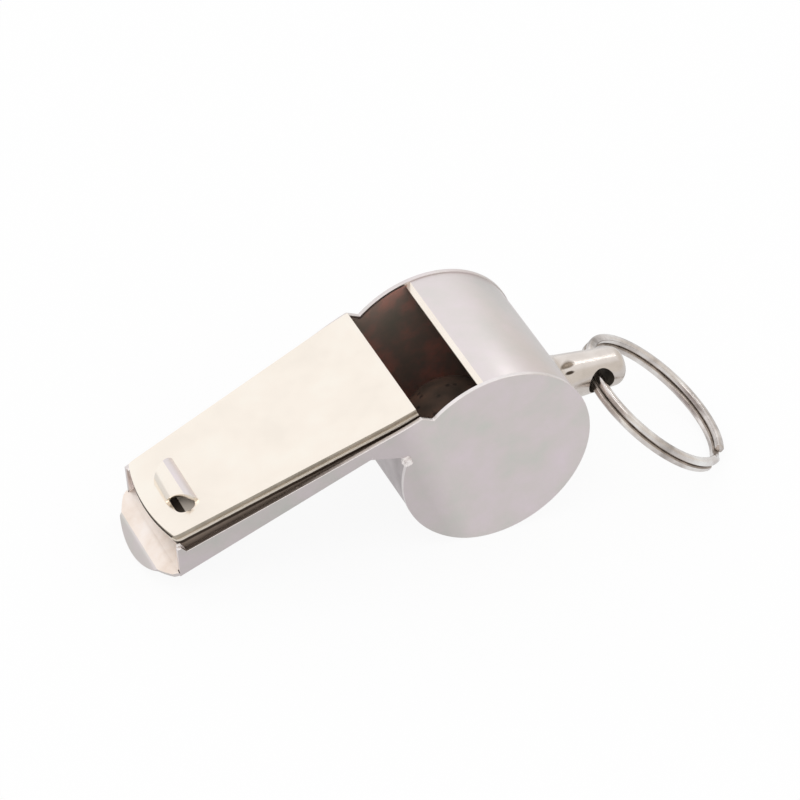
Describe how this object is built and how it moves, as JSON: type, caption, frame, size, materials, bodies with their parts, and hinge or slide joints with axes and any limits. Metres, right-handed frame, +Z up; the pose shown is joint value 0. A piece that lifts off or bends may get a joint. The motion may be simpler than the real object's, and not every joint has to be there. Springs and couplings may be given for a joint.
{
  "type": "pea whistle",
  "caption": "Pressed-metal pea whistle with a snail-shaped body, a raised bite bridge, a ring post and a split ring that swings on it.",
  "frame": {"origin": "on the table, under the middle of the whole part's box, with the drum and the lower lip standing on the table", "axes": "+X from the mouthpiece towards the ring, +Y along the drum's axis to the far side plate, +Z up"},
  "size_m": [0.0696, 0.021, 0.022],
  "materials": {
    "nickel_plated_brass": "polished nickel plate",
    "soft_solder": "dull, as cast",
    "spring_steel": "bright plated wire",
    "cork": "ground cork"
  },
  "bodies": {
    "whistle": {"side_plate_near": "nickel_plated_brass", "side_plate_far": "nickel_plated_brass", "barrel_strip": "nickel_plated_brass", "mouthpiece_floor": "nickel_plated_brass", "windway_roof": "nickel_plated_brass", "top_plate": "nickel_plated_brass", "ring_post": "nickel_plated_brass", "solder": "soft_solder", "cork_pea": "cork"},
    "ring": {"split_ring": "spring_steel"}
  },
  "joints": [
    {"name": "ring_swing", "type": "hinge", "parent": "whistle", "child": "ring", "pos_m": [0.01896, 0.00094, 0.01132], "axis": [0, -1, 0], "range_deg": [-90, 160]}
  ]
}
